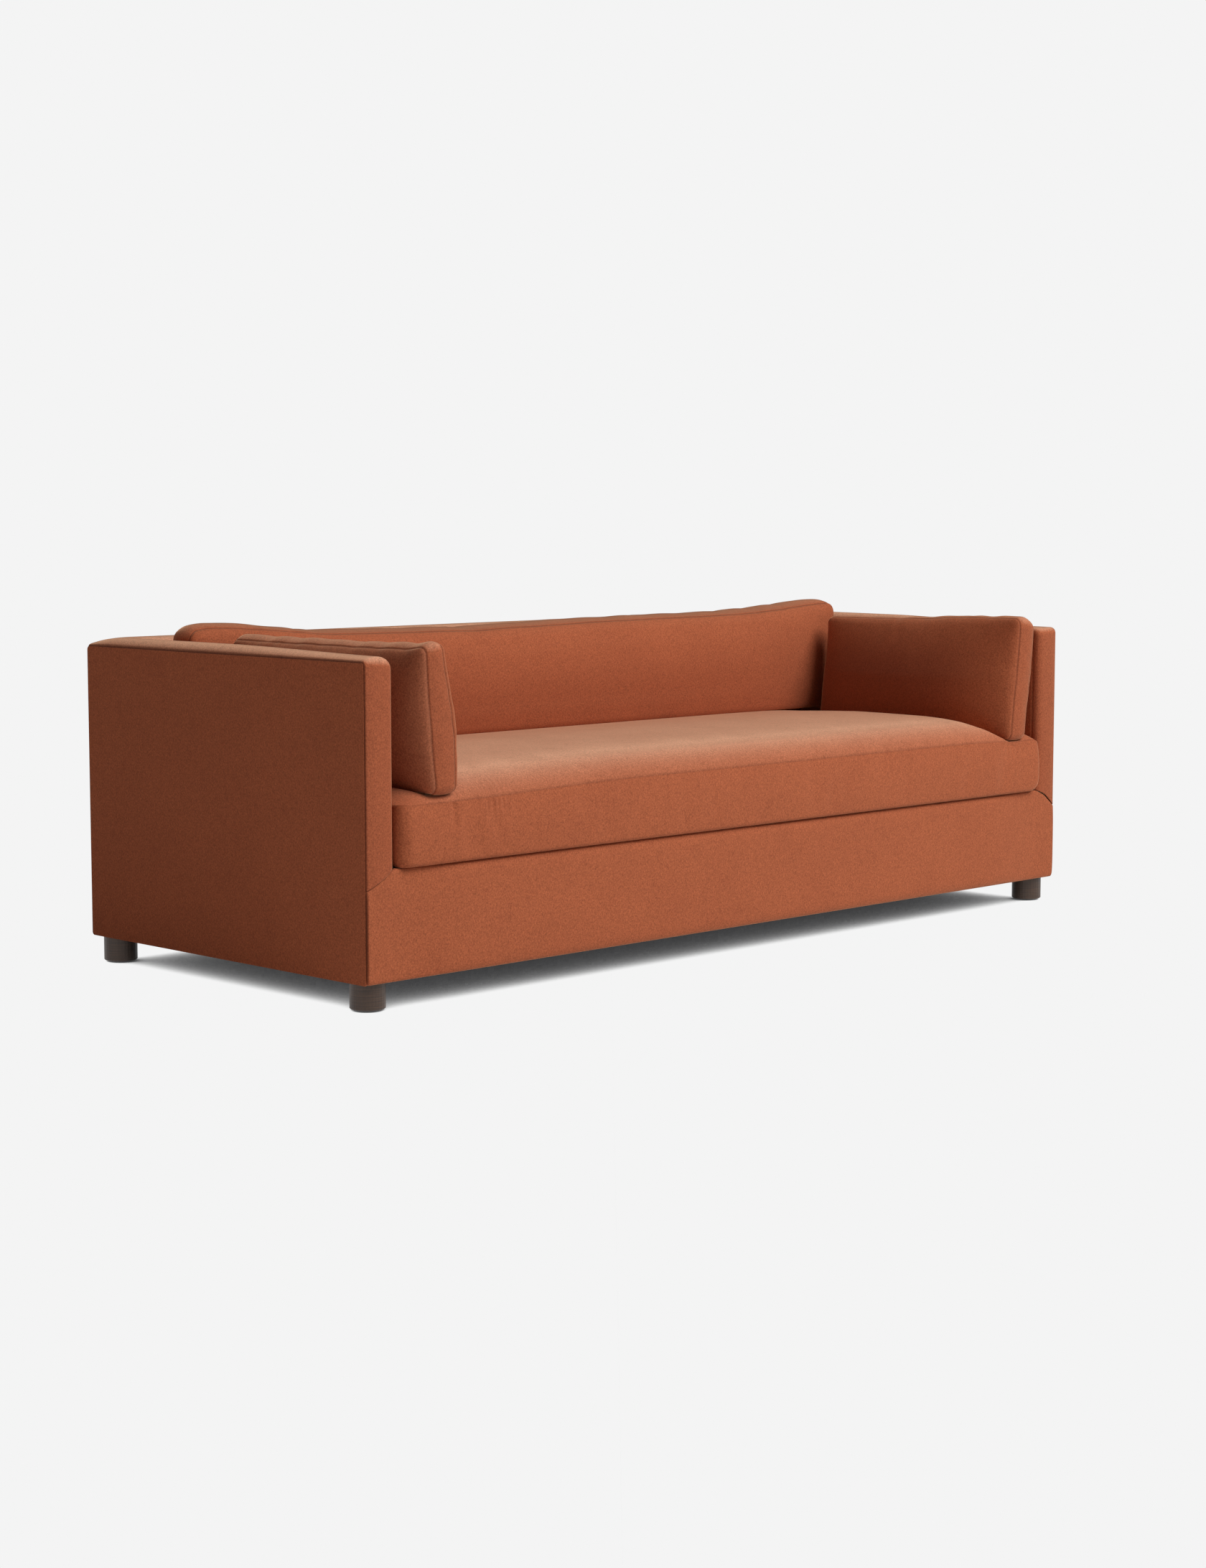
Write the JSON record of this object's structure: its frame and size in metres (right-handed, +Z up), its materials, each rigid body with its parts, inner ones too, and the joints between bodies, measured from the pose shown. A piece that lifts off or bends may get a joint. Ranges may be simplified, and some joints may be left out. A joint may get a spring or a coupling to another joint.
{
  "type": "tuxedo sofa",
  "caption": "Long upholstered sofa with arms and back of one height, a bench seat cushion, a long back cushion and an arm pillow at each end, on short round wooden legs.",
  "frame": {"origin": "on the floor under the middle of the sofa's overall box", "axes": "+X to the right as seen from the front, +Y from the front to the back, +Z up"},
  "size_m": [2.44, 1.0303, 0.7927],
  "materials": {
    "velvet": "matte",
    "leg_wood": "satin",
    "glide_plastic": "matte",
    "fastener_steel": "satin",
    "frame_timber": "matte",
    "webbing": "matte",
    "deck_cloth": "matte",
    "dust_cloth": "matte",
    "cushion_filling": "matte"
  },
  "bodies": {
    "sofa_body": {"front_rail": "frame_timber", "back_rail": "frame_timber", "back_top_rail": "frame_timber", "side_rail_left": "frame_timber", "side_rail_right": "frame_timber", "front_post_left": "frame_timber", "front_post_right": "frame_timber", "back_post_left": "frame_timber", "back_post_right": "frame_timber", "arm_top_rail_left": "frame_timber", "arm_top_rail_right": "frame_timber", "back_upright_left": "frame_timber", "back_upright_right": "frame_timber", "seat_stretcher_left": "frame_timber", "seat_stretcher_right": "frame_timber", "leg_block_front_left": "frame_timber", "leg_block_front_right": "frame_timber", "leg_block_back_left": "frame_timber", "leg_block_back_right": "frame_timber", "leg_front_left": "leg_wood", "leg_front_right": "leg_wood", "leg_back_left": "leg_wood", "leg_back_right": "leg_wood", "glide_front_left": "glide_plastic", "glide_front_right": "glide_plastic", "glide_back_left": "glide_plastic", "glide_back_right": "glide_plastic", "hanger_bolt_front_left": "fastener_steel", "hanger_bolt_front_right": "fastener_steel", "hanger_bolt_back_left": "fastener_steel", "hanger_bolt_back_right": "fastener_steel", "tee_nut_front_left": "fastener_steel", "tee_nut_front_right": "fastener_steel", "tee_nut_back_left": "fastener_steel", "tee_nut_back_right": "fastener_steel", "seat_webbing": "webbing", "back_webbing": "webbing", "seat_deck": "deck_cloth", "dust_cover": "dust_cloth", "arm_band_left": "velvet", "arm_band_right": "velvet", "outside_arm_left": "velvet", "outside_arm_right": "velvet", "inside_arm_left": "velvet", "inside_arm_right": "velvet", "back_band": "velvet", "outside_back": "velvet", "inside_back": "velvet", "front_border": "velvet"},
    "seat_cushion": {"seat_cushion_cover": "velvet", "seat_cushion_core": "cushion_filling"},
    "back_cushion": {"back_cushion_cover": "velvet", "back_cushion_core": "cushion_filling"},
    "arm_pillow_left": {"arm_pillow_left_cover": "velvet", "arm_pillow_left_core": "cushion_filling"},
    "arm_pillow_right": {"arm_pillow_right_cover": "velvet", "arm_pillow_right_core": "cushion_filling"}
  },
  "joints": [
    {"name": "seat_cushion_lift", "type": "slide", "parent": "sofa_body", "child": "seat_cushion", "axis": [0, 0, 1], "range_m": [0, 0.48]},
    {"name": "back_cushion_lift", "type": "slide", "parent": "seat_cushion", "child": "back_cushion", "axis": [0, 0, 1], "range_m": [0, 0.35]},
    {"name": "arm_pillow_left_lift", "type": "slide", "parent": "seat_cushion", "child": "arm_pillow_left", "axis": [0, 0, 1], "range_m": [0, 0.35]},
    {"name": "arm_pillow_right_lift", "type": "slide", "parent": "seat_cushion", "child": "arm_pillow_right", "axis": [0, 0, 1], "range_m": [0, 0.35]}
  ]
}
